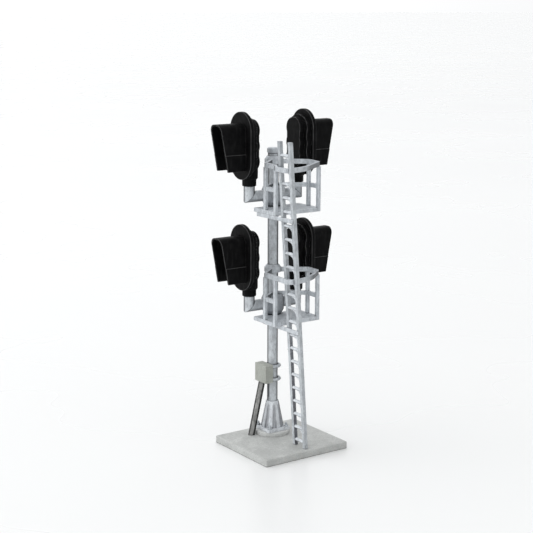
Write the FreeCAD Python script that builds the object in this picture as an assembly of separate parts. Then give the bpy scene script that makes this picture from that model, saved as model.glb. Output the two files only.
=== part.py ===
import FreeCAD, Part
import math
import os

# Scale model of a two-level railway signal mast with a ladder and two railed decks.
#
# Millimetres.  +Z is up and the base plate's underside is at Z = 0.  The signal heads
# face +X and -X at equal reach, so X = 0 is at the mast's axis; Y = 0 is at the middle
# of the base plate, and the ladder stands on the -Y side of the mast.  Everything is
# drawn around the mast's own axis and moved along Y when it is exported.

V = FreeCAD.Vector
X_AXIS = V(1, 0, 0)
Y_AXIS = V(0, 1, 0)
Z_AXIS = V(0, 0, 1)

# ---------------------------------------------------------------- base and mast
BASE_X = 25.6
BASE_Y = 23.4
BASE_T = 1.8
BASE_CORNER_R = 0.35
BASE_EDGE_R = 0.3
BASE_MIDDLE_X = -1.3
MAST_Y = 5.8
MAST_R = 1.38
MAST_BORE_R = 1.0
MAST_TOP = 76.1
CAP_R = 1.55
CAP_T = 1.25
PAD_R = 4.6
PAD_T = 1.0
PAD_TOP = BASE_T + PAD_T
FLANGE_SIDE = 6.7
FLANGE_T = 0.8
FLANGE_TOP = PAD_TOP + FLANGE_T
FOOT_TOP = 10.6
FOOT_R_TOP = 1.65
FOOT_R_BOTTOM = 2.45
RIB_COUNT = 8
RIB_R_BOTTOM = 2.9
RIB_T = 1.15
BOLT_OFFSET = 2.65
STUD_R = 0.28
STUD_RISE = 1.0
NUT_ACROSS_CORNERS = 1.1
NUT_T = 0.45
FIT_GAP = 0.02

# ---------------------------------------------------------------- decks and rails
DECKS = {"lower": 34.1, "upper": 62.45}
DECK_LEFT = -6.0
DECK_RIGHT = 8.2
DECK_FRONT = -9.35
DECK_T = 1.0
POST_SIDE = 0.9
LEFT_POST_X = DECK_LEFT + POST_SIDE / 2
RIGHT_POST_X = DECK_RIGHT - POST_SIDE / 2
FRONT_POST_Y = DECK_FRONT + POST_SIDE / 2
LEFT_MID_POST_Y = -4.55
RIGHT_MID_POST_Y = -4.75
RAIL_TOP = 12.3
RAIL_H = 1.15
RAIL_T = 0.75
MID_RAIL_TOP = 5.95
MID_RAIL_H = 1.1
MID_RAIL_T = 0.6
CLAMP_R = 2.2
CLAMP_SHOULDER_H = 0.8
CLAMP_SHOULDER_R = 1.6
RAIL_DROP = {"lower": 0.0, "upper": 0.25}
RAIL_TILT = {"lower": 1.0, "upper": 2.2}
RAIL_CORNER_R = 0.9
FRONT_BEND_R = 12.0
FRONT_BEND_PAST_LADDER = 4.5

# ---------------------------------------------------------------- ladder
STRINGER_SIDE = 0.95
INNER_STRINGER_Y = -11.55
OUTER_STRINGER_Y = -15.8
LADDER_FOOT_X = -0.85
LADDER_LEAN = 0.069
LADDER_TOP = 80.3
RUNG_PITCH = 3.5
RUNG_COUNT = 22
RUNG_R = 0.42
FIRST_RUNG_Z = 3.4
RUNG_WEB_R = 1.5
RUNG_WEB_T = 0.55
STRAP_T = 0.5
STRAP_H = 1.0
STRAP_BACK_Y = -1.2

# ---------------------------------------------------------------- head brackets
POST_AXIS_X = 7.4
PIPE_R = 1.42
PIPE_BORE_R = 1.0
ARM_Z = 2.85
PIPE_TOP = 8.6
SEAM_W = 0.16
SEAM_DEPTH = 0.12
HUB_PROFILE = ((2.2, 0.0), (2.9, 1.4), (2.95, 4.1), (2.45, 5.3))

# ---------------------------------------------------------------- signal heads
# Heights are above the deck, and reaches are from the bracket post's axis.
LAMP_LOW_Z = 12.05
LAMP_PITCH = 3.8
LAMP_Z = [LAMP_LOW_Z + LAMP_PITCH * row for row in range(3)]
LAMP_COLOURS = ("green", "yellow", "red")
PLATE_R = 4.7
PLATE_BACK = 1.7
PLATE_T = 1.0
PLATE_FRONT = PLATE_BACK + PLATE_T
CASE_HALF_W = 4.0
CASE_HALF_H = 3.35
CASE_BACK = 0.35
COVER_HALF_W = 2.95
COVER_HALF_H = 2.7
COVER_BACK = -1.2
LOBE_WAVE = 0.28
CELL_R = 1.7
CELL_BACK = -0.6
LENS_R = 1.45
LENS_DOME = 0.45
LENS_BACK = 1.25
HOOD_HALF_W = 2.5
HOOD_WALL = 0.35
HOOD_CROWN_R = 1.9
HOOD_BOTTOM_Z = 9.75
HOOD_TOP_Z = 21.5
HOOD_REACH_BOTTOM = 8.0
HOOD_REACH_TOP = 10.15
HOOD_LAP_Z = 13.9
HOOD_LAP_STEP = 0.1
SOCKET_Z = 5.6
NECK_R = 1.79
NECK_TOP_Z = 7.2
BOSS_R = 2.2
BOSS_Z = 7.7
BOSS_TOP_Z = 10.2
SOCKET_CLEARANCE = 0.05
SOCKET_LIP_R = 0.25

# ---------------------------------------------------------------- junction box
BOX_BACK_X = -1.5
BOX_FRONT_X = -3.85
BOX_HALF_W = 2.5
BOX_Z = 16.1
BOX_H = 4.85
BOX_WALL = 0.4
COVER_T = 0.4
U_BOLT_R = 0.42
U_BOLT_BEND_R = 1.82
U_BOLT_RISES = (0.5, 4.05)
CONDUIT_R = 0.86
CONDUIT_TOP = V(-2.65, 0.9, BOX_Z)
CONDUIT_FOOT = V(-5.9, 1.1, BASE_T)


def block(x0, x1, y0, y1, z0, z1):
    """A box between two opposite corners."""
    return Part.makeBox(x1 - x0, y1 - y0, z1 - z0, V(x0, y0, z0))


def rod(radius, start, end):
    """A round bar from one point to another."""
    run = end - start
    return Part.makeCylinder(radius, run.Length, start, run)


def slab(wire, z0, height):
    """A flat plate standing on a closed wire drawn at any height."""
    face = Part.Face(wire)
    face.translate(V(0, 0, z0 - wire.BoundBox.ZMin))
    return face.extrude(V(0, 0, height))


def fuse_all(shapes):
    """One solid from shapes that overlap or share faces."""
    return shapes[0].multiFuse(shapes[1:]).removeSplitter()


def export(name, shape):
    """Moves a shape from the mast's axis to the part's frame and writes it."""
    placed = shape.copy()
    placed.translate(V(0, MAST_Y, 0))
    placed.exportStep("parts/" + name + ".step")


def ladder_x(z):
    """The ladder's middle plane, which leans back towards -X with height."""
    return LADDER_FOOT_X - LADDER_LEAN * (z - BASE_T)


# ---------------------------------------------------------------- base and mast
def base_plate():
    plate = block(-BASE_X / 2, BASE_X / 2, -BASE_Y / 2, BASE_Y / 2, 0, BASE_T)
    corners = [e for e in plate.Edges if abs(e.tangentAt(e.FirstParameter).z) > 0.9]
    plate = plate.makeFillet(BASE_CORNER_R, corners)
    rim = [e for e in plate.Edges if e.BoundBox.ZMin > BASE_T - FIT_GAP]
    plate = plate.makeFillet(BASE_EDGE_R, rim)
    plate.translate(V(BASE_MIDDLE_X, -MAST_Y, 0))
    return plate


def foundation_pad():
    pad = Part.makeCylinder(PAD_R, PAD_T, V(0, 0, BASE_T))
    rim = [e for e in pad.Edges if e.BoundBox.ZMin > PAD_TOP - FIT_GAP]
    return pad.makeFillet(PAD_T / 4, rim)


def mast_foot():
    """Square flange and flared skirt with a gusset rib every eighth of a turn."""
    half = FLANGE_SIDE / 2
    flange = block(-half, half, -half, half, PAD_TOP, FLANGE_TOP)
    skirt_h = FOOT_TOP - FLANGE_TOP
    skirt = Part.makeCone(FOOT_R_BOTTOM, FOOT_R_TOP, skirt_h, V(0, 0, FLANGE_TOP))
    pieces = [flange, skirt]
    for index in range(RIB_COUNT):
        outline = [
            V(0, -RIB_T / 2, FLANGE_TOP - FLANGE_T / 2),
            V(RIB_R_BOTTOM, -RIB_T / 2, FLANGE_TOP - FLANGE_T / 2),
            V(RIB_R_BOTTOM, -RIB_T / 2, FLANGE_TOP + FLANGE_T / 2),
            V(FOOT_R_TOP, -RIB_T / 2, FOOT_TOP - FLANGE_T / 2),
            V(0, -RIB_T / 2, FOOT_TOP - FLANGE_T / 2),
        ]
        face = Part.Face(Part.makePolygon(outline + outline[:1]))
        rib = face.extrude(V(0, RIB_T, 0))
        rib.rotate(V(0, 0, 0), Z_AXIS, 360 / RIB_COUNT * index)
        pieces.append(rib)
    foot = fuse_all(pieces)
    foot = foot.cut(Part.makeCylinder(MAST_R + FIT_GAP, FOOT_TOP, V(0, 0, PAD_TOP)))
    for x, y in bolt_places():
        hole = Part.makeCylinder(STUD_R + FIT_GAP, FLANGE_T, V(x, y, PAD_TOP))
        foot = foot.cut(hole)
    return foot


def bolt_places():
    signs = ((1, 1), (-1, 1), (-1, -1), (1, -1))
    return [(sx * BOLT_OFFSET, sy * BOLT_OFFSET) for sx, sy in signs]


def hexagon_nut(across_corners, thickness, bore_r):
    """A nut standing on the origin with its axis along Z."""
    radius = across_corners / 2
    corners = [V(radius * math.cos(a), radius * math.sin(a), 0)
               for a in [math.radians(60 * k) for k in range(7)]]
    nut = Part.Face(Part.makePolygon(corners)).extrude(V(0, 0, thickness))
    return nut.cut(Part.makeCylinder(bore_r, thickness))


def anchor_bolts():
    """Four studs, each one solid with its nut."""
    bolts = []
    for x, y in bolt_places():
        stud = Part.makeCylinder(STUD_R, FLANGE_T + STUD_RISE, V(x, y, PAD_TOP))
        nut = hexagon_nut(NUT_ACROSS_CORNERS, NUT_T, STUD_R / 2)
        nut.translate(V(x, y, FLANGE_TOP))
        bolts.append(fuse_all([stud, nut]))
    return Part.makeCompound(bolts)


def mast_tube():
    height = MAST_TOP - PAD_TOP
    outer = Part.makeCylinder(MAST_R, height, V(0, 0, PAD_TOP))
    return outer.cut(Part.makeCylinder(MAST_BORE_R, height, V(0, 0, PAD_TOP)))


def mast_cap():
    """Disc with a plug that fits the mast's bore."""
    disc = Part.makeCylinder(CAP_R, CAP_T, V(0, 0, MAST_TOP))
    rim = [e for e in disc.Edges if e.BoundBox.ZMin > MAST_TOP + CAP_T / 2]
    disc = disc.makeFillet(CAP_T / 4, rim)
    plug_r = MAST_BORE_R - FIT_GAP
    plug = Part.makeCylinder(plug_r, CAP_T * 2, V(0, 0, MAST_TOP - CAP_T * 2))
    return fuse_all([disc, plug])


# ---------------------------------------------------------------- decks and rails
def post_places():
    return ((LEFT_POST_X, FRONT_POST_Y), (LEFT_POST_X, LEFT_MID_POST_Y),
            (RIGHT_POST_X, FRONT_POST_Y), (RIGHT_POST_X, RIGHT_MID_POST_Y))


def sloped(shape, level, deck):
    """Lowers a level shape to its rail's height and tips it down towards the ladder."""
    placed = shape.copy()
    placed.rotate(V(0, 0, deck + RAIL_TOP), X_AXIS, RAIL_TILT[level])
    placed.translate(V(0, 0, -RAIL_DROP[level]))
    return placed


def rail_posts(level, deck):
    """Four square posts let into the deck's edges, cut off under the handrail."""
    half = POST_SIDE / 2
    top = deck + RAIL_TOP
    space = block(2 * DECK_LEFT, 2 * DECK_RIGHT, 2 * DECK_FRONT, 0, top - RAIL_H, 2 * top)
    space = sloped(space, level, deck)
    posts = [block(x - half, x + half, y - half, y + half, deck - DECK_T, top).cut(space)
             for x, y in post_places()]
    return Part.makeCompound(posts)


def deck_plate(deck, posts):
    plate = block(DECK_LEFT, DECK_RIGHT, DECK_FRONT, 0, deck - DECK_T, deck)
    mast = Part.makeCylinder(MAST_R + FIT_GAP, DECK_T, V(0, 0, deck - DECK_T))
    return plate.cut(mast).cut(posts)


def tangent_arc(before, corner, after, radius):
    """Centre, end points and middle direction of the bend at a path's corner."""
    back = (before - corner).normalize()
    ahead = (after - corner).normalize()
    half_angle = back.getAngle(ahead) / 2
    run = radius / math.tan(half_angle)
    bisector = (back + ahead).normalize()
    centre = corner + bisector * (radius / math.sin(half_angle))
    return centre, corner + back * run, corner + ahead * run, bisector


def side_edges(points, radii, offset):
    """Lines and arcs beside a bent path, at a signed distance to its left."""
    edges = []
    heading = (points[1] - points[0]).normalize()
    at = points[0] + V(-heading.y, heading.x, 0) * offset
    for index in range(1, len(points) - 1):
        before, corner, after = points[index - 1:index + 2]
        centre, first, last, bisector = tangent_arc(before, corner, after, radii[index - 1])
        heading = (corner - before).normalize()
        next_heading = (after - corner).normalize()
        left = V(-heading.y, heading.x, 0)
        arc_start = first + left * offset
        arc_end = last + V(-next_heading.y, next_heading.x, 0) * offset
        arc_mid = centre - bisector * (arc_start - centre).Length
        edges.append(Part.LineSegment(at, arc_start).toShape())
        edges.append(Part.Arc(arc_start, arc_mid, arc_end).toShape())
        at = arc_end
    heading = (points[-1] - points[-2]).normalize()
    end = points[-1] + V(-heading.y, heading.x, 0) * offset
    edges.append(Part.LineSegment(at, end).toShape())
    return edges, end


def bent_bar(points, radii, thickness, z0, height):
    """A flat bar on edge that follows a path in plan with a round bend at each corner."""
    left, left_end = side_edges(points, radii, thickness / 2)
    right, right_end = side_edges(points, radii, -thickness / 2)
    start = left[0].valueAt(left[0].FirstParameter)
    right_start = right[0].valueAt(right[0].FirstParameter)
    ends = [Part.LineSegment(left_end, right_end).toShape(),
            Part.LineSegment(start, right_start).toShape()]
    wire = Part.Wire(Part.__sortEdges__(left + right + ends))
    return slab(wire, z0, height)


def handrail(level, deck, ladder):
    """One bar from the mast round all four posts and past the ladder to the mast."""
    top = deck + RAIL_TOP
    z0 = top - RAIL_H
    stringer_face = ladder_x(top) - STRINGER_SIDE / 2
    left_x = min(LEFT_POST_X, stringer_face - RAIL_T / 2 - FIT_GAP)
    front_bend_x = ladder_x(top) + FRONT_BEND_PAST_LADDER
    front_y = OUTER_STRINGER_Y + STRINGER_SIDE / 2 + RAIL_T / 2 + FIT_GAP
    jog_y = INNER_STRINGER_Y + STRINGER_SIDE
    points = [V(0, 0, 0), V(LEFT_POST_X, LEFT_MID_POST_Y, 0)]
    radii = [RAIL_CORNER_R]
    if left_x < LEFT_POST_X:
        points += [V(LEFT_POST_X, FRONT_POST_Y, 0), V(left_x, jog_y, 0)]
        radii += [RAIL_CORNER_R, RAIL_CORNER_R]
    points += [V(left_x, front_y, 0), V(front_bend_x, front_y, 0),
               V(RIGHT_POST_X, FRONT_POST_Y, 0), V(RIGHT_POST_X, RIGHT_MID_POST_Y, 0),
               V(0, 0, 0)]
    radii += [RAIL_CORNER_R, FRONT_BEND_R, RAIL_CORNER_R, RAIL_CORNER_R]
    bar = sloped(bent_bar(points, radii, RAIL_T, z0, RAIL_H), level, deck)
    clamp = Part.makeCylinder(CLAMP_R, 3 * RAIL_H, V(0, 0, z0 - RAIL_H))
    return bar.cut(clamp).cut(ladder)


def mid_rail(start, end, z0):
    """A straight bar between two points in plan."""
    run = end - start
    side = V(-run.y, run.x, 0).normalize() * (MID_RAIL_T / 2)
    corners = [start + side, start - side, end - side, end + side]
    return slab(Part.makePolygon(corners + corners[:1]), z0, MID_RAIL_H)


def mid_rails(deck, posts):
    """Left, right and the two bars that run back to the bracket hub."""
    z0 = deck + MID_RAIL_TOP - MID_RAIL_H
    left_mid = V(LEFT_POST_X, LEFT_MID_POST_Y, 0)
    right_mid = V(RIGHT_POST_X, RIGHT_MID_POST_Y, 0)
    bars = [mid_rail(left_mid, V(LEFT_POST_X, FRONT_POST_Y, 0), z0),
            mid_rail(right_mid, V(RIGHT_POST_X, FRONT_POST_Y, 0), z0),
            mid_rail(left_mid, V(0, 0, 0), z0),
            mid_rail(right_mid, V(0, 0, 0), z0)]
    hub = bracket_hub(deck)
    mast = Part.makeCylinder(MAST_R + FIT_GAP, MID_RAIL_H, V(0, 0, z0))
    return Part.makeCompound([bar.cut(posts).cut(hub).cut(mast) for bar in bars])


def rail_clamp(level, deck):
    """Collar with a sloping shoulder where the handrail's ends meet the mast."""
    z0 = deck + RAIL_TOP - RAIL_H - RAIL_DROP[level]
    ring = Part.makeCylinder(CLAMP_R, RAIL_H, V(0, 0, z0))
    shoulder = Part.makeCone(CLAMP_R, CLAMP_SHOULDER_R, CLAMP_SHOULDER_H, V(0, 0, z0 + RAIL_H))
    mast = Part.makeCylinder(MAST_R + FIT_GAP, RAIL_H + CLAMP_SHOULDER_H, V(0, 0, z0))
    return fuse_all([ring, shoulder]).cut(mast)


# ---------------------------------------------------------------- ladder
def stringer(y):
    half = STRINGER_SIDE / 2
    x = LADDER_FOOT_X
    corners = [V(x - half, y - half, BASE_T), V(x + half, y - half, BASE_T),
               V(x + half, y + half, BASE_T), V(x - half, y + half, BASE_T)]
    rise = LADDER_TOP - BASE_T
    face = Part.Face(Part.makePolygon(corners + corners[:1]))
    return face.extrude(V(-LADDER_LEAN * rise, 0, rise))


def rungs():
    """Round rungs let half way into the stringers, each with a web but the lowest."""
    bars = []
    for index in range(RUNG_COUNT):
        z = FIRST_RUNG_Z + RUNG_PITCH * index
        x = ladder_x(z)
        bar = rod(RUNG_R, V(x, OUTER_STRINGER_Y, z), V(x, INNER_STRINGER_Y, z))
        if index > 0:
            bar = fuse_all([bar, rung_web(x, z)])
        bars.append(bar)
    return Part.makeCompound(bars)


def rung_web(x, z):
    """Small plate with a hollow quarter-round edge that fills the corner below a rung."""
    y0 = OUTER_STRINGER_Y
    y1 = OUTER_STRINGER_Y + STRINGER_SIDE / 2 + RUNG_WEB_R
    z0 = z - RUNG_R - RUNG_WEB_R
    half = RUNG_WEB_T / 2
    plate = block(x - half, x + half, y0, y1, z0, z)
    return plate.cut(rod(RUNG_WEB_R, V(x - 1, y1, z0), V(x + 1, y1, z0)))


def ladder_strap(deck):
    """Flat bar under a deck that reaches out along the ladder's -X side."""
    z1 = deck - DECK_T
    x1 = ladder_x(z1) - STRINGER_SIDE / 2
    y0 = OUTER_STRINGER_Y - STRINGER_SIDE / 2
    return block(x1 - STRAP_T, x1, y0, STRAP_BACK_Y, z1 - STRAP_H, z1)


# ---------------------------------------------------------------- head brackets
def hub_space(deck):
    """The hub's outside, filled in to the mast's axis."""
    outline = [V(0, 0, 0)]
    outline += [V(radius, 0, z) for radius, z in HUB_PROFILE]
    outline += [V(0, 0, HUB_PROFILE[-1][1]), V(0, 0, 0)]
    solid = Part.Face(Part.makePolygon(outline)).revolve(V(0, 0, 0), Z_AXIS, 360)
    solid.translate(V(0, 0, deck))
    return solid


def bracket_hub(deck):
    """Cast sleeve round the mast that both head brackets grow from."""
    return hub_space(deck).cut(Part.makeCylinder(MAST_R + FIT_GAP, MAST_TOP))


def bracket(deck, side):
    """Pipe arm from the hub and a vertical post, mitred together at the elbow."""
    reach = POST_AXIS_X + PIPE_R
    arm = rod(PIPE_R, V(0, 0, ARM_Z), V(reach, 0, ARM_Z))
    post = rod(PIPE_R, V(POST_AXIS_X, 0, ARM_Z - PIPE_R), V(POST_AXIS_X, 0, PIPE_TOP))
    post_side = at_mitre(0, 4 * POST_AXIS_X)
    elbow = fuse_all([arm.cut(post_side), post.common(post_side)])
    elbow = elbow.cut(mitre_seam())
    elbow = elbow.cut(Part.makeCylinder(PIPE_BORE_R, PIPE_TOP, V(POST_AXIS_X, 0, ARM_Z)))
    elbow.translate(V(0, 0, deck))
    if side < 0:
        elbow.rotate(V(0, 0, 0), Z_AXIS, 180)
    return elbow.cut(hub_space(deck))


def at_mitre(start, thickness):
    """A slab parallel to the elbow's 45 degree mitre plane, from a distance beyond it."""
    size = 4 * POST_AXIS_X
    layer = Part.makeBox(thickness, 2 * size, 2 * size, V(start, -size, -size))
    layer.rotate(V(0, 0, 0), Y_AXIS, -45)
    layer.translate(V(POST_AXIS_X, 0, ARM_Z))
    return layer


def mitre_seam():
    """The shallow joint line round the elbow where the two pipes meet."""
    core_r = PIPE_R - SEAM_DEPTH
    reach = POST_AXIS_X + core_r
    arm_core = rod(core_r, V(0, 0, ARM_Z), V(reach, 0, ARM_Z))
    post_core = rod(core_r, V(POST_AXIS_X, 0, ARM_Z - core_r), V(POST_AXIS_X, 0, PIPE_TOP))
    core = fuse_all([arm_core.cut(at_mitre(0, 4 * POST_AXIS_X)),
                     post_core.common(at_mitre(0, 4 * POST_AXIS_X))])
    return at_mitre(-SEAM_W / 2, SEAM_W).cut(core)


# ---------------------------------------------------------------- signal heads
def lobes(half_width, half_height, x0, x1):
    """Three wide ovals in a column, one at each lamp, joined by a slightly narrower block."""
    core_half = half_width - LOBE_WAVE
    discs = [block(x0, x1, -core_half, core_half, LAMP_Z[0], LAMP_Z[2])]
    for z in LAMP_Z:
        side = V(x0, half_width, z)
        top = V(x0, 0, z + half_height)
        oval = Part.Ellipse(side, top, V(x0, 0, z)).toShape()
        discs.append(Part.Face(Part.Wire(oval)).extrude(V(x1 - x0, 0, 0)))
    return fuse_all(discs)


def at_lamps(radius, x0, x1):
    """Three separate round bars, one at each lamp."""
    return Part.makeCompound(
        [Part.makeCylinder(radius, x1 - x0, V(x0, 0, z), X_AXIS) for z in LAMP_Z])


def backplate():
    middle = block(PLATE_BACK, PLATE_FRONT, -PLATE_R, PLATE_R, LAMP_Z[0], LAMP_Z[2])
    ends = [Part.makeCylinder(PLATE_R, PLATE_T, V(PLATE_BACK, 0, z), X_AXIS)
            for z in (LAMP_Z[0], LAMP_Z[2])]
    plate = fuse_all([middle] + ends)
    return plate.cut(at_lamps(LENS_R + FIT_GAP, PLATE_BACK, PLATE_FRONT))


def lamp_case(socket_space):
    """Scalloped case behind the plate with an open cell behind each lens."""
    case = lobes(CASE_HALF_W, CASE_HALF_H, CASE_BACK, PLATE_BACK)
    return case.cut(at_lamps(CELL_R, CASE_BACK, PLATE_BACK)).cut(socket_space)


def rear_cover(socket_space):
    """Narrower scalloped cover that closes the cells from behind."""
    cover = lobes(COVER_HALF_W, COVER_HALF_H, COVER_BACK, CASE_BACK)
    return cover.cut(at_lamps(CELL_R, CELL_BACK, CASE_BACK)).cut(socket_space)


def lens(z):
    """Round glass with a shallow dome on its front face."""
    barrel = Part.makeCylinder(LENS_R, PLATE_FRONT - LENS_BACK, V(LENS_BACK, 0, z), X_AXIS)
    ball_r = (LENS_R ** 2 + LENS_DOME ** 2) / (2 * LENS_DOME)
    ball = Part.makeSphere(ball_r, V(PLATE_FRONT + LENS_DOME - ball_r, 0, z))
    dome = ball.common(Part.makeCylinder(LENS_R, 2 * LENS_DOME, V(PLATE_FRONT, 0, z), X_AXIS))
    return fuse_all([barrel, dome])


def hood_outline(half_width, top, bottom, crown_r):
    """Arched doorway outline in the YZ plane."""
    shoulder = top - crown_r
    side = half_width - crown_r
    diagonal = crown_r * math.sin(math.radians(45))
    right = Part.Arc(V(0, half_width, shoulder),
                     V(0, side + diagonal, shoulder + diagonal), V(0, side, top))
    left = Part.Arc(V(0, -side, top),
                    V(0, -side - diagonal, shoulder + diagonal), V(0, -half_width, shoulder))
    lines = [Part.LineSegment(V(0, half_width, bottom), V(0, half_width, shoulder)),
             Part.LineSegment(V(0, side, top), V(0, -side, top)),
             Part.LineSegment(V(0, -half_width, shoulder), V(0, -half_width, bottom)),
             Part.LineSegment(V(0, -half_width, bottom), V(0, half_width, bottom))]
    edges = [lines[0], right, lines[1], left, lines[2], lines[3]]
    return Part.Wire([e.toShape() for e in edges])


def hood():
    """Tunnel hood over all three lamps: open below, with a raked mouth."""
    reach = HOOD_REACH_TOP - PLATE_FRONT
    outer = Part.Face(hood_outline(HOOD_HALF_W, HOOD_TOP_Z, HOOD_BOTTOM_Z, HOOD_CROWN_R))
    outer = outer.extrude(V(reach, 0, 0))
    lap_half = HOOD_HALF_W + HOOD_LAP_STEP
    lap = block(0, reach, -lap_half, lap_half, HOOD_BOTTOM_Z, HOOD_LAP_Z)
    inner = Part.Face(hood_outline(HOOD_HALF_W - HOOD_WALL, HOOD_TOP_Z - HOOD_WALL,
                                   HOOD_BOTTOM_Z - 1, HOOD_CROWN_R - HOOD_WALL))
    inner = inner.extrude(V(reach, 0, 0))
    shell = fuse_all([outer, lap]).cut(inner)
    shell.translate(V(PLATE_FRONT, 0, 0))
    corners = [V(HOOD_REACH_BOTTOM, -PLATE_R, HOOD_BOTTOM_Z),
               V(HOOD_REACH_TOP, -PLATE_R, HOOD_TOP_Z),
               V(2 * HOOD_REACH_TOP, -PLATE_R, HOOD_TOP_Z),
               V(2 * HOOD_REACH_TOP, -PLATE_R, HOOD_BOTTOM_Z)]
    beyond = Part.Face(Part.makePolygon(corners + corners[:1])).extrude(V(0, 2 * PLATE_R, 0))
    return shell.cut(beyond)


def socket_envelope(extra):
    """Neck, taper and boss round the bracket post, grown by a little if asked."""
    neck = Part.makeCylinder(NECK_R + extra, NECK_TOP_Z - SOCKET_Z, V(0, 0, SOCKET_Z))
    taper = Part.makeCone(NECK_R + extra, BOSS_R + extra, BOSS_Z - NECK_TOP_Z,
                          V(0, 0, NECK_TOP_Z))
    boss = Part.makeCylinder(BOSS_R + extra, BOSS_TOP_Z + extra - BOSS_Z, V(0, 0, BOSS_Z))
    return fuse_all([neck, taper, boss])


def head_socket():
    """Blind socket that turns on the bracket post."""
    body = socket_envelope(0)
    body = body.cut(block(PLATE_BACK, BOSS_R + 1, -BOSS_R, BOSS_R, SOCKET_Z, BOSS_TOP_Z))
    rim = [e for e in body.Edges if e.BoundBox.ZMax < SOCKET_Z + FIT_GAP]
    body = body.makeFillet(SOCKET_LIP_R, rim)
    bore_r = PIPE_R + SOCKET_CLEARANCE
    depth = PIPE_TOP + SOCKET_CLEARANCE - SOCKET_Z
    return body.cut(Part.makeCylinder(bore_r, depth, V(0, 0, SOCKET_Z)))


def place_head(shape, deck, side):
    """Puts a head piece, drawn facing +X round its post, on one of the brackets."""
    placed = shape.copy()
    if side < 0:
        placed.rotate(V(0, 0, 0), Z_AXIS, 180)
    placed.translate(V(side * POST_AXIS_X, 0, deck))
    return placed


# ---------------------------------------------------------------- junction box
def junction_box():
    """Open box whose back stands against the mast."""
    front = BOX_FRONT_X + COVER_T
    body = block(front, BOX_BACK_X, -BOX_HALF_W, BOX_HALF_W, BOX_Z, BOX_Z + BOX_H)
    inside = block(front, BOX_BACK_X - BOX_WALL, -BOX_HALF_W + BOX_WALL,
                   BOX_HALF_W - BOX_WALL, BOX_Z + BOX_WALL, BOX_Z + BOX_H - BOX_WALL)
    return body.cut(inside)


def rim_edges(shape, x):
    """The edges that lie in the plane at x."""
    return [e for e in shape.Edges if abs(e.BoundBox.XMin - x) + abs(e.BoundBox.XMax - x) < 1e-3]


def junction_box_cover():
    plate = block(BOX_FRONT_X, BOX_FRONT_X + COVER_T, -BOX_HALF_W, BOX_HALF_W,
                  BOX_Z, BOX_Z + BOX_H)
    return plate.makeFillet(COVER_T / 3, rim_edges(plate, BOX_FRONT_X))


def u_bolt(z):
    """Round rod bent half way round the mast, with both legs running to the box."""
    half = Part.makeTorus(U_BOLT_BEND_R, U_BOLT_R, V(0, 0, z))
    reach = U_BOLT_BEND_R + 2 * U_BOLT_R
    half = half.cut(block(-reach, 0, -reach, reach, z - U_BOLT_R, z + U_BOLT_R))
    legs = [rod(U_BOLT_R, V(0, y, z), V(BOX_BACK_X, y, z))
            for y in (-U_BOLT_BEND_R, U_BOLT_BEND_R)]
    return fuse_all([half] + legs)


def u_bolts():
    return Part.makeCompound([u_bolt(BOX_Z + rise) for rise in U_BOLT_RISES])


def conduit():
    """Slanting pipe from the box down to the base plate, cut level at both ends."""
    run = CONDUIT_TOP - CONDUIT_FOOT
    overrun = run * (1 / run.Length)
    pipe = rod(CONDUIT_R, CONDUIT_FOOT - overrun, CONDUIT_TOP + overrun)
    level = block(-BASE_X, BASE_X, -BASE_Y, BASE_Y, BASE_T, BOX_Z)
    pad = Part.makeCylinder(PAD_R + FIT_GAP, PAD_T, V(0, 0, BASE_T))
    return pipe.common(level).cut(pad)


# ---------------------------------------------------------------- the whole part
def main():
    os.makedirs("parts", exist_ok=True)
    export("base_plate", base_plate())
    export("foundation_pad", foundation_pad())
    export("mast_foot", mast_foot())
    export("anchor_bolts", anchor_bolts())
    export("mast_tube", mast_tube())
    export("mast_cap", mast_cap())

    ladder_rungs = rungs()
    stringers = Part.makeCompound([stringer(y).cut(ladder_rungs)
                                   for y in (INNER_STRINGER_Y, OUTER_STRINGER_Y)])
    export("ladder_stringers", stringers)
    export("ladder_rungs", ladder_rungs)
    ladder = Part.makeCompound([stringers, ladder_rungs])

    socket_space = socket_envelope(FIT_GAP)
    head_pieces = {
        "backplate": backplate(),
        "lamp_case": lamp_case(socket_space),
        "rear_cover": rear_cover(socket_space),
        "hood": hood(),
        "socket": head_socket(),
    }
    for colour, z in zip(LAMP_COLOURS, LAMP_Z):
        head_pieces["lens_" + colour] = lens(z)

    for level, deck in DECKS.items():
        posts = rail_posts(level, deck)
        export(level + "_rail_posts", posts)
        export(level + "_deck", deck_plate(deck, posts))
        export(level + "_handrail", handrail(level, deck, ladder))
        export(level + "_mid_rails", mid_rails(deck, posts))
        export(level + "_bracket_hub", bracket_hub(deck))
        for hand, side in (("left", -1), ("right", 1)):
            export(level + "_" + hand + "_bracket", bracket(deck, side))
            for name, shape in head_pieces.items():
                placed = place_head(shape, deck, side)
                export(level + "_" + hand + "_" + name, placed)

    clamps = [rail_clamp(level, deck) for level, deck in DECKS.items()]
    export("rail_clamps", Part.makeCompound(clamps))
    straps = [ladder_strap(deck) for deck in DECKS.values()]
    export("ladder_straps", Part.makeCompound(straps))
    export("junction_box", junction_box())
    export("junction_box_cover", junction_box_cover())
    export("u_bolts", u_bolts())
    export("conduit", conduit())


main()
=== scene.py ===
import math

import bpy
from mathutils import Matrix, Vector


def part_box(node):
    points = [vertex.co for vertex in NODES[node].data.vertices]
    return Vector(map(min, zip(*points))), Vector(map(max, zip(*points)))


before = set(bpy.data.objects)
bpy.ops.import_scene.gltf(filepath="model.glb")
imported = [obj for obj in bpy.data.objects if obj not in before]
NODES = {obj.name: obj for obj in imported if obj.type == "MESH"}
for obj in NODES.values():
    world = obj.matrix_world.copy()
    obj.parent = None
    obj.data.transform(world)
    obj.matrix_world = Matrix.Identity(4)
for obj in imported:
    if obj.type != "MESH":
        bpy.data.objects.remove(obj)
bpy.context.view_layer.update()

MM = 0.001
bpy.context.scene.view_settings.view_transform = "Standard"


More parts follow.
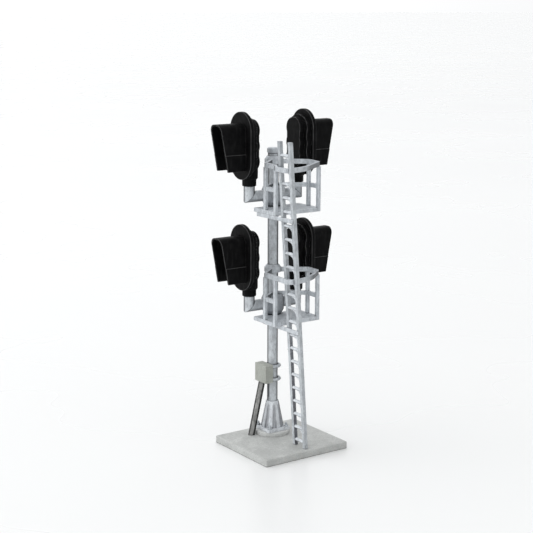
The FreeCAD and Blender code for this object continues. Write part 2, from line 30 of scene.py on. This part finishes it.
# ---------------------------------------------------------------- places on the part
def middle_y(node):
    """The Y of a node's middle."""
    low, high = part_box(node)
    return (low[1] + high[1]) / 2


def bottom_z(node):
    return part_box(node)[0][2]


def top_z(node):
    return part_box(node)[1][2]


RIB_COUNT = 8
FLANGE_THICKNESS = 0.8 * MM
MAST_Y = middle_y("mast_tube")
LADDER_Y = middle_y("ladder_stringers")
FLANGE_TOP_Z = bottom_z("mast_foot") + FLANGE_THICKNESS
FOOT_TOP_Z = top_z("mast_foot")
BOX_BOTTOM_Z = bottom_z("junction_box")
LOWER_DECK_Z = top_z("lower_deck")
CAP_JOINT_Z = top_z("mast_tube")

# Directions in the part's own frame: the two sides of grey metal given painted shade, the
# conduit's side left without painted shade, and straight down.
RIGHT_SIDE = (0.82, -0.57, 0)
LEFT_SIDE = (-0.82, 0.57, 0)
PIPE_PLAIN_SIDE = (-0.68, -0.73, 0.1)
DOWN = (0, 0, -1)


# ---------------------------------------------------------------- node helpers
CREVICE_SAMPLES = 8


class Nodes:
    """Short calls for building one material's node tree."""

    def __init__(self, name):
        self.material = bpy.data.materials.new(name)
        self.material.use_nodes = True
        self.tree = self.material.node_tree
        self.tree.nodes.clear()
        output = self.add("ShaderNodeOutputMaterial")
        self.shader = self.add("ShaderNodeBsdfPrincipled")
        self.link(self.shader.outputs[0], output.inputs[0])
        own_frame = self.add("ShaderNodeTexCoord")
        self.coords = own_frame.outputs["Object"]
        self.normal = own_frame.outputs["Normal"]
        self.generated = own_frame.outputs["Generated"]

    def add(self, kind, **settings):
        node = self.tree.nodes.new(kind)
        for key, value in settings.items():
            setattr(node, key, value)
        return node

    def link(self, source, target):
        self.tree.links.new(source, target)

    def noise(self, scale, detail, roughness=0.55, stretch=(1, 1, 1)):
        """Noise whose features are about 1/scale metres across."""
        mapping = self.add("ShaderNodeMapping")
        mapping.inputs["Scale"].default_value = stretch
        self.link(self.coords, mapping.inputs["Vector"])
        node = self.add("ShaderNodeTexNoise")
        node.inputs["Scale"].default_value = scale
        node.inputs["Detail"].default_value = detail
        node.inputs["Roughness"].default_value = roughness
        self.link(mapping.outputs[0], node.inputs["Vector"])
        return node.outputs[0]

    def ramp(self, value, low, high, to_low=0.0, to_high=1.0):
        """A smooth step from to_low at low to to_high at high."""
        node = self.add("ShaderNodeMapRange", interpolation_type="SMOOTHSTEP")
        node.inputs["From Min"].default_value = low
        node.inputs["From Max"].default_value = high
        node.inputs["To Min"].default_value = to_low
        node.inputs["To Max"].default_value = to_high
        self.link(value, node.inputs["Value"])
        return node.outputs[0]

    def calc(self, operation, *values):
        """One sum on sockets or plain numbers."""
        node = self.add("ShaderNodeMath", operation=operation)
        for index, value in enumerate(values):
            if isinstance(value, float):
                node.inputs[index].default_value = value
            else:
                self.link(value, node.inputs[index])
        return node.outputs[0]

    def mix(self, factor, first, second):
        """Two colours or sockets, blended by a socket."""
        node = self.add("ShaderNodeMix", data_type="RGBA")
        self.link(factor, node.inputs["Factor"])
        for key, value in (("A", first), ("B", second)):
            socket = [s for s in node.inputs if s.name == key and s.type == "RGBA"][0]
            if isinstance(value, tuple):
                socket.default_value = value + (1.0,)
            else:
                self.link(value, socket)
        return [s for s in node.outputs if s.type == "RGBA"][0]

    def cover(self, tone, over, mask, strength):
        """A second colour over the first where the mask is, at most at the given strength."""
        return self.mix(self.calc("MULTIPLY", mask, strength), tone, over)

    def bump(self, height, distance, strength, normal=None):
        node = self.add("ShaderNodeBump")
        node.inputs["Distance"].default_value = distance
        node.inputs["Strength"].default_value = strength
        self.link(height, node.inputs["Height"])
        if normal is not None:
            self.link(normal, node.inputs["Normal"])
        return node.outputs[0]

    def crevices(self, distance, low, high):
        """1 in tight corners and 0 on open faces."""
        node = self.add("ShaderNodeAmbientOcclusion", samples=CREVICE_SAMPLES)
        node.inputs["Distance"].default_value = distance
        return self.ramp(node.outputs["AO"], low, high, 1.0, 0.0)

    def facing(self, direction, low, high):
        """1 on faces turned towards a direction in the part's own frame, else 0."""
        node = self.add("ShaderNodeVectorMath", operation="DOT_PRODUCT")
        node.inputs[1].default_value = Vector(direction).normalized()
        self.link(self.normal, node.inputs[0])
        return self.ramp(node.outputs["Value"], low, high)

    def axis(self, name, source=None):
        """One component of the place in the part's own frame, or of another vector."""
        node = self.add("ShaderNodeSeparateXYZ")
        self.link(self.coords if source is None else source, node.inputs[0])
        return node.outputs[name]

    def between(self, start, full, fade, end, least=0.0):
        """1 between two heights, 0 above them and the least value below them."""
        height = self.axis("Z")
        return self.calc("MULTIPLY", self.ramp(height, start, full, least, 1.0),
                         self.ramp(height, fade, end, 1.0, 0.0))

    def finish(self, color, roughness, normal, constants):
        """Links the varying sockets and sets the ones that are the same all over."""
        for key, value in constants.items():
            self.shader.inputs[key].default_value = value
        for key, source in (("Base Color", color), ("Roughness", roughness),
                            ("Normal", normal)):
            if source is not None:
                self.link(source, self.shader.inputs[key])
        return self.material


def shade(color, factor):
    """A darker or lighter version of a colour."""
    return tuple(factor * channel for channel in color)


# ---------------------------------------------------------------- materials
def metal_paint(name, light, dark, shade_color, darker_where=None, darker_strength=0.85,
                rim_from=0.83, rim_to=0.96):
    """Thin grey paint on cast metal: mottled, with painted shade below, at its sides and in
    corners.

    The mask function, when given, says where the paint is made darker still.
    """
    m = Nodes(name)
    patches = m.ramp(m.noise(900, detail=5, roughness=0.62, stretch=(1, 1, 0.55)), 0.36, 0.64)
    tone = m.mix(patches, dark, light)
    speckle = m.ramp(m.noise(3600, detail=3, roughness=0.7), 0.50, 0.68)
    tone = m.cover(tone, shade(light, 1.35), speckle, 0.30)
    smears = m.ramp(m.noise(2100, detail=4, roughness=0.6, stretch=(1, 1, 0.4)), 0.54, 0.74)
    tone = m.cover(tone, shade(dark, 0.45), smears, 0.50)
    # Painted shade on faces turned down.
    shade_below = m.facing(DOWN, 0.15, 0.75)
    tone = m.cover(tone, shade(dark, 0.30), shade_below, 0.80)
    # Painted shade on the side turned towards RIGHT_SIDE.
    shaded_side = m.facing(RIGHT_SIDE, 0.35, 1.0)
    tone = m.cover(tone, shade(dark, 0.35), shaded_side, 0.30)
    # Painted shade in narrow dark bands along both sides.
    for side in (RIGHT_SIDE, LEFT_SIDE):
        rim = m.facing(side, rim_from, rim_to)
        tone = m.cover(tone, shade(dark, 0.16), rim, 0.88)
    # Darker still where the given mask lies, with its strength varied by noise.
    if darker_where is not None:
        uneven = m.ramp(m.noise(1500, detail=4), 0.2, 0.6, 0.7, 1.0)
        tone = m.cover(tone, shade_color, m.calc("MULTIPLY", darker_where(m), uneven), darker_strength)
    # Painted shade in tight corners and in wider recesses, varied by noise.
    patchy = m.ramp(m.noise(1200, detail=4), 0.25, 0.7, 0.6, 1.0)
    tight = m.calc("MULTIPLY", m.crevices(0.6 * MM, 0.35, 0.80), patchy)
    tone = m.cover(tone, shade_color, tight, 0.80)
    wide = m.calc("MULTIPLY", m.crevices(2.6 * MM, 0.15, 0.58), patchy)
    color = m.cover(tone, shade_color, wide, 0.60)
    rough = m.ramp(m.noise(1300, detail=3), 0.2, 0.8, 0.42, 0.60)
    peel = m.bump(m.noise(3600, detail=3, roughness=0.6), 0.02 * MM, 0.8)
    lumps = m.bump(m.noise(1100, detail=3), 0.06 * MM, 0.6, peel)
    return m.finish(color, rough, lumps, {"Metallic": 0.1, "Specular IOR Level": 0.22})


def ladder_inside(m):
    """Painted shade where the stringers' faces look at each other, fading out above the lower deck.
    """
    from_middle = m.calc("SUBTRACT", m.axis("Y"), LADDER_Y)
    outward = m.calc("MULTIPLY", from_middle, m.axis("Y", m.normal))
    inner = m.ramp(outward, -1.2 * MM, -0.6 * MM, 1.0, 0.0)
    low = m.ramp(m.axis("Z"), 0.8 * LOWER_DECK_Z, LOWER_DECK_Z, 1.0, 0.25)
    return m.calc("MULTIPLY", inner, low)


def foot_panels(m):
    """Painted shade in the hollows between the foot's ribs, above its flange."""
    turn = m.calc("ARCTAN2", m.calc("SUBTRACT", m.axis("Y"), MAST_Y), m.axis("X"))
    wave = m.calc("COSINE", m.calc("MULTIPLY", turn, float(RIB_COUNT)))
    hollow = m.ramp(wave, -0.1, 0.5, 1.0, 0.0)
    skirt = m.between(FLANGE_TOP_Z, FLANGE_TOP_Z + 0.5 * MM,
                      FOOT_TOP_Z - 1.2 * MM, FOOT_TOP_Z - 0.6 * MM)
    return m.calc("MULTIPLY", hollow, skirt)


def mast_marks(m):
    """Painted shade under the cap's overhang, and the mast's side darker below the junction box."""
    joint = m.ramp(m.axis("Z"), CAP_JOINT_Z - 0.32 * MM, CAP_JOINT_Z - 0.16 * MM)
    side = m.facing(LEFT_SIDE, 0.45, 0.70)
    length = m.between(FOOT_TOP_Z - 0.2 * MM, FOOT_TOP_Z + 1.8 * MM,
                       BOX_BOTTOM_Z - 0.1 * MM, BOX_BOTTOM_Z + 0.1 * MM, least=0.3)
    return m.calc("MAXIMUM", joint, m.calc("MULTIPLY", side, length))


def pipe_side_shade(m):
    """Painted shade on everything but the pipe's outer side, which keeps its grey paint."""
    plain_side = m.facing(PIPE_PLAIN_SIDE, 0.70, 0.97)
    return m.ramp(plain_side, 0.0, 1.0, 1.0, 0.0)


def grit_paint(name, light, dark):
    """Matt grey paint with the fine grit of a cast plate.

    It has painted shade in crevices and a painted contact shadow along its lower edge.
    """
    m = Nodes(name)
    patches = m.ramp(m.noise(260, detail=5, roughness=0.65), 0.34, 0.66)
    tone = m.mix(patches, dark, light)
    grain = m.ramp(m.noise(3000, detail=3, roughness=0.8), 0.42, 0.62)
    tone = m.cover(tone, shade(dark, 0.72), grain, 0.42)
    # Painted shade in crevices.
    crevice_shade = m.crevices(0.5 * MM, 0.30, 0.65)
    tone = m.cover(tone, shade(dark, 0.22), crevice_shade, 0.35)
    # Painted contact shadow along the lower edge.
    contact_shadow = m.ramp(m.axis("Z"), 0.0, 0.30 * MM, 0.6, 0.0)
    color = m.mix(contact_shadow, tone, shade(dark, 0.12))
    rough = m.ramp(m.noise(1500, detail=3), 0.2, 0.8, 0.6, 0.8)
    grit = m.bump(m.noise(2400, detail=3, roughness=0.75), 0.05 * MM, 0.9)
    return m.finish(color, rough, grit, {"Specular IOR Level": 0.25})


def black_enamel(name, color, tint, streak):
    """Matt black paint with faint brush streaks down the faces."""
    m = Nodes(name)
    tone = m.mix(m.ramp(m.noise(500, detail=4), 0.35, 0.7), color, tint)
    streaks = m.ramp(m.noise(1500, detail=4, roughness=0.65, stretch=(1, 1, 0.14)), 0.50, 0.72)
    tone = m.cover(tone, streak, streaks, 0.6)
    rough = m.ramp(m.noise(1400, detail=3), 0.2, 0.8, 0.42, 0.60)
    relief = m.bump(m.noise(1300, detail=4, roughness=0.6, stretch=(1, 1, 0.3)), 0.05 * MM, 0.7)
    return m.finish(tone, rough, relief, {"Specular IOR Level": 0.05})


def lens_glass(name, deep, bright):
    """Coloured lens moulding with concentric steps about the lamp's axis."""
    m = Nodes(name)
    centred = m.add("ShaderNodeMapping")
    centred.inputs["Location"].default_value = (-0.5, -0.5, -0.5)
    m.link(m.generated, centred.inputs["Vector"])
    steps = m.add("ShaderNodeTexWave", wave_type="RINGS", rings_direction="X")
    steps.inputs["Scale"].default_value = 3.2
    m.link(centred.outputs[0], steps.inputs["Vector"])
    rings = steps.outputs["Fac"]
    color = m.mix(m.ramp(rings, 0.1, 0.9), deep, bright)
    rough = m.ramp(m.noise(1500, detail=2), 0.2, 0.8, 0.06, 0.16)
    return m.finish(color, rough, m.bump(rings, 0.05 * MM, 0.8),
                    {"IOR": 1.5, "Coat Weight": 0.6, "Coat Roughness": 0.04})


def floor_white():
    """Smooth white table top."""
    m = Nodes("floor_white")
    color = m.mix(m.ramp(m.noise(3, detail=3), 0.3, 0.7), (0.89, 0.895, 0.89), (0.905, 0.91, 0.905))
    rough = m.ramp(m.noise(8, detail=3), 0.3, 0.7, 0.26, 0.30)
    return m.finish(color, rough, None, {"Specular IOR Level": 0.4})


# Near black of the painted shade on the silver parts.
SHADE_DARK = (0.030, 0.032, 0.040)
STEEL = metal_paint("silver_grey_paint", (0.66, 0.695, 0.73), (0.48, 0.51, 0.54), SHADE_DARK)
# A lighter copy of the silver paint: painted highlight on the bevels and on the whole ladder rungs.
STEEL_HIGHLIGHT = metal_paint("silver_grey_highlight", (0.78, 0.815, 0.85), (0.60, 0.63, 0.66), SHADE_DARK)
PIPE = metal_paint("pipe_paint", (0.66, 0.695, 0.725), (0.48, 0.505, 0.53), SHADE_DARK, mast_marks,
                   rim_from=0.64, rim_to=0.90)
# A darker copy of the silver paint: painted shade on the bracket hub.
HUB_SHADED = metal_paint("hub_shaded_paint", (0.46, 0.485, 0.515), (0.30, 0.32, 0.345), SHADE_DARK)
# A lighter copy of the silver paint: painted light on the mast foot, with painted shade in its
# hollows.
FOOT_LIT = metal_paint("foot_lit_paint", (0.83, 0.865, 0.90), (0.67, 0.695, 0.73),
                   (0.24, 0.24, 0.26), foot_panels, darker_strength=0.50)
# Its darkest colour is painted shade between the stringers and in corners.
LADDER = metal_paint("ladder_paint", (0.60, 0.635, 0.66), (0.43, 0.455, 0.48),
                     (0.085, 0.085, 0.100), ladder_inside)
# Its near black is painted shade along the pipe's sides and in corners.
CONDUIT = metal_paint("conduit_dark_paint", (0.40, 0.40, 0.39), (0.20, 0.20, 0.195),
                      (0.006, 0.006, 0.006), pipe_side_shade, darker_strength=0.97)
BASE = grit_paint("base_grey_paint", (0.59, 0.60, 0.585), (0.475, 0.485, 0.472))
# A lighter copy of the base paint: painted highlight on its bevels.
BASE_EDGE_HIGHLIGHT = grit_paint("base_grey_edge_highlight", (0.63, 0.635, 0.62), (0.52, 0.525, 0.51))
# A lighter copy of the base paint: painted light on the foundation pad.
PAD_LIT = grit_paint("pad_lit_grey_paint", (0.70, 0.71, 0.695), (0.58, 0.59, 0.577))
BOX = grit_paint("box_grey_paint", (0.43, 0.445, 0.41), (0.355, 0.37, 0.335))
# A lighter copy of the box paint: painted highlight on its bevels.
BOX_EDGE_HIGHLIGHT = grit_paint("box_grey_edge_highlight", (0.54, 0.55, 0.51), (0.45, 0.46, 0.42))
BLACK = black_enamel("black_enamel", (0.0035, 0.0035, 0.0038), (0.0065, 0.0065, 0.0068),
                     (0.018, 0.018, 0.018))
# Lighter copies of the black paint for the bevels: painted edge highlights.
BLACK_EDGE_HIGHLIGHT = black_enamel("black_enamel_edge_highlight", (0.07, 0.07, 0.071), (0.11, 0.11, 0.111),
                          (0.16, 0.16, 0.16))
BLACK_BRIGHT_HIGHLIGHT = black_enamel("black_enamel_bright_highlight", (0.34, 0.34, 0.342), (0.50, 0.50, 0.502),
                          (0.62, 0.62, 0.62))
RED = lens_glass("red_lens", (0.16, 0.004, 0.004), (0.30, 0.012, 0.010))
YELLOW = lens_glass("yellow_lens", (0.30, 0.12, 0.006), (0.48, 0.22, 0.015))
GREEN = lens_glass("green_lens", (0.004, 0.10, 0.045), (0.012, 0.19, 0.09))

# ---------------------------------------------------------------- dressing the nodes
# Face and edge material, by the end of a node's name; a lighter edge material is a painted
# highlight.
FINISHES = {
    "mast_tube": (PIPE, STEEL_HIGHLIGHT), "bracket": (PIPE, STEEL_HIGHLIGHT),
    "mast_foot": (FOOT_LIT, STEEL_HIGHLIGHT), "bracket_hub": (HUB_SHADED, HUB_SHADED),
    "ladder_stringers": (LADDER, LADDER), "ladder_rungs": (STEEL_HIGHLIGHT, STEEL_HIGHLIGHT),
    "conduit": (CONDUIT, CONDUIT),
    "base_plate": (BASE, BASE_EDGE_HIGHLIGHT), "foundation_pad": (PAD_LIT, BASE_EDGE_HIGHLIGHT),
    "junction_box": (BOX, BOX_EDGE_HIGHLIGHT), "junction_box_cover": (BOX, BOX_EDGE_HIGHLIGHT),
    "lamp_case": (BLACK, BLACK_BRIGHT_HIGHLIGHT), "rear_cover": (BLACK, BLACK_BRIGHT_HIGHLIGHT),
    "backplate": (BLACK, BLACK_EDGE_HIGHLIGHT), "hood": (BLACK, BLACK_EDGE_HIGHLIGHT), "socket": (BLACK, BLACK),
    "lens_red": (RED, RED), "lens_yellow": (YELLOW, YELLOW), "lens_green": (GREEN, GREEN),
}

# Width of the softened edges in millimetres, by the end of a node's name.
BEVELS = {
    "base_plate": 0.10, "foundation_pad": 0.06, "conduit": 0.04,
    "junction_box": 0.16, "junction_box_cover": 0.10,
    "mast_foot": 0.10, "anchor_bolts": 0.05, "mast_tube": 0.05, "mast_cap": 0.10,
    "ladder_stringers": 0.13, "ladder_straps": 0.10,
    "deck": 0.10, "rail_posts": 0.13, "handrail": 0.16, "mid_rails": 0.12,
    "rail_clamps": 0.10, "bracket_hub": 0.25, "bracket": 0.05, "socket": 0.08,
    "rear_cover": 0.09, "lamp_case": 0.09, "backplate": 0.08, "hood": 0.06,
}
BEVEL_SEGMENTS = 3
BEVEL_ANGLE = math.radians(38)
EDGE_SLOT = 1
WELD_DISTANCE = 0.0005 * MM
NORMAL_WEIGHT = 60


def entry_for(node, table, otherwise):
    """The entry whose key ends the node's name."""
    for key, value in table.items():
        if node.endswith(key):
            return value
    return otherwise


def dress(node, obj):
    """Materials, soft edges and clean shading for one CAD node."""
    obj.data.materials.clear()
    for material in entry_for(node, FINISHES, (STEEL, STEEL_HIGHLIGHT)):
        obj.data.materials.append(material)
    weld = obj.modifiers.new("weld", "WELD")
    weld.merge_threshold = WELD_DISTANCE
    width = entry_for(node, BEVELS, 0.0) * MM
    if width:
        bevel = obj.modifiers.new("bevel", "BEVEL")
        bevel.width = width
        bevel.segments = BEVEL_SEGMENTS
        bevel.limit_method = "ANGLE"
        bevel.angle_limit = BEVEL_ANGLE
        # The bevel's faces take the second material: a painted highlight for most nodes.
        bevel.material = EDGE_SLOT
        bevel.harden_normals = True
        bevel.use_clamp_overlap = True
    normals = obj.modifiers.new("normals", "WEIGHTED_NORMAL")
    normals.keep_sharp = True
    normals.weight = NORMAL_WEIGHT


for node, obj in NODES.items():
    dress(node, obj)


# ---------------------------------------------------------------- stage
FLOOR_REACH = 20.0

KEY_PLACE = (-0.70, 0.30, 0.75)
KEY_TARGET = (0, 0, 0.04)
KEY_SIDE = 0.90
KEY_POWER = 0.8

STUDIO_WHITE = (0.985, 0.992, 1.0, 1.0)
STUDIO_BRIGHT_SIDE = (-0.60, 0.75, 0.30)
STUDIO_DIM = 0.42
STUDIO_BRIGHT = 1.44

CAMERA_PLACE = Vector((-0.18884, -0.25962, 0.11243))
CAMERA_FORWARD = Vector((0.5642, 0.8015, -0.1984))
CAMERA_ROLL = math.radians(0.175)
FOCAL_LENGTH_MM = 86.79
SENSOR_WIDTH_MM = 36.0
NEAREST_SEEN = 0.02


def stage_floor():
    """A pale table that runs out to the horizon."""
    corners = [(-1, -1), (1, -1), (1, 1), (-1, 1)]
    mesh = bpy.data.meshes.new("floor")
    mesh.from_pydata([(FLOOR_REACH * x, FLOOR_REACH * y, 0) for x, y in corners],
                     [], [(0, 1, 2, 3)])
    mesh.materials.append(floor_white())
    floor = bpy.data.objects.new("floor", mesh)
    bpy.context.scene.collection.objects.link(floor)


def key_light():
    """A weak lamp from the back left, over the floor."""
    data = bpy.data.lights.new("key", "AREA")
    data.size = KEY_SIDE
    data.energy = KEY_POWER
    lamp = bpy.data.objects.new("key", data)
    lamp.location = KEY_PLACE
    aim = Vector(KEY_TARGET) - Vector(KEY_PLACE)
    lamp.rotation_euler = aim.to_track_quat("-Z", "Y").to_euler()
    bpy.context.scene.collection.objects.link(lamp)


def world_light():
    """A white studio that is brighter towards one side."""
    world = bpy.data.worlds.new("studio")
    world.use_nodes = True
    tree = world.node_tree
    direction = tree.nodes.new("ShaderNodeTexCoord").outputs["Generated"]
    towards = tree.nodes.new("ShaderNodeVectorMath")
    towards.operation = "DOT_PRODUCT"
    towards.inputs[1].default_value = Vector(STUDIO_BRIGHT_SIDE).normalized()
    tree.links.new(direction, towards.inputs[0])
    level = tree.nodes.new("ShaderNodeMapRange")
    level.inputs["From Min"].default_value = -1.0
    level.inputs["From Max"].default_value = 1.0
    level.inputs["To Min"].default_value = STUDIO_DIM
    level.inputs["To Max"].default_value = STUDIO_BRIGHT
    tree.links.new(towards.outputs["Value"], level.inputs["Value"])
    background = tree.nodes["Background"]
    background.inputs["Color"].default_value = STUDIO_WHITE
    tree.links.new(level.outputs[0], background.inputs["Strength"])
    bpy.context.scene.world = world


def camera():
    """The photograph's viewpoint: a long lens, slightly above, nearly level."""
    data = bpy.data.cameras.new("camera")
    data.lens = FOCAL_LENGTH_MM
    data.sensor_width = SENSOR_WIDTH_MM
    data.clip_start = NEAREST_SEEN
    forward = CAMERA_FORWARD.normalized()
    right = forward.cross(Vector((0, 0, 1))).normalized()
    up = right.cross(forward)
    side = right * math.cos(CAMERA_ROLL) + up * math.sin(CAMERA_ROLL)
    top = side.cross(forward)
    cam = bpy.data.objects.new("camera", data)
    turned = Matrix((side, top, -forward)).transposed().to_4x4()
    cam.matrix_world = Matrix.Translation(CAMERA_PLACE) @ turned
    bpy.context.scene.collection.objects.link(cam)
    bpy.context.scene.camera = cam


stage_floor()
world_light()
key_light()
camera()
